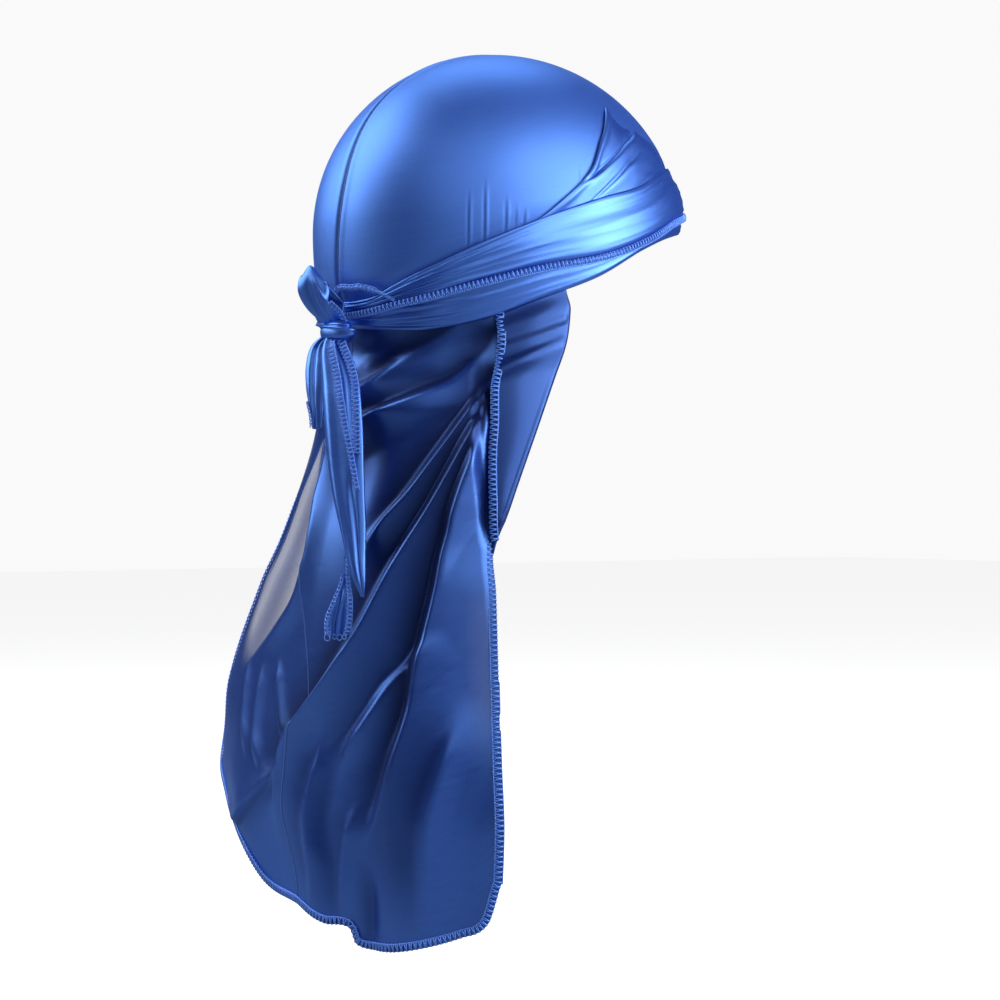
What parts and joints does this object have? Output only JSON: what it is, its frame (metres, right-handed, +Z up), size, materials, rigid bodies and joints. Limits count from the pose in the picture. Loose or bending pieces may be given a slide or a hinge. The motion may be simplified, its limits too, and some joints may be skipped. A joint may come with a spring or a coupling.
{
  "type": "durag",
  "caption": "Satin durag as worn: close seamed crown, strap bands wrapped over pleated roots and tied in a half bow at the nape, and a long folded cape behind.",
  "frame": {"origin": "middle of the crown's widest ring, where a head fills it; the mount head_seat", "axes": "+Z up through the crown, -Y toward the brow, +Y toward the nape and cape, -X toward the wearer's right"},
  "size_m": [0.2362, 0.2208, 0.4235],
  "materials": {
    "satin": "polyester satin, glossy side out, royal blue",
    "thread": "overlock thread and seam, satin blue"
  },
  "bodies": {
    "root": {"crown_panel_right": "satin", "crown_panel_left": "satin", "crown_seam": "thread", "strap_root_right": "satin", "strap_root_left": "satin", "strap_wrap_left": "satin", "strap_wrap_right": "satin", "cape_panel_right": "satin", "cape_panel_left": "satin", "cape_seam": "thread", "strap_knot": "satin", "bow_loop": "satin", "bow_strand": "thread", "tail_long": "satin", "tail_short": "satin"}
  },
  "joints": []
}
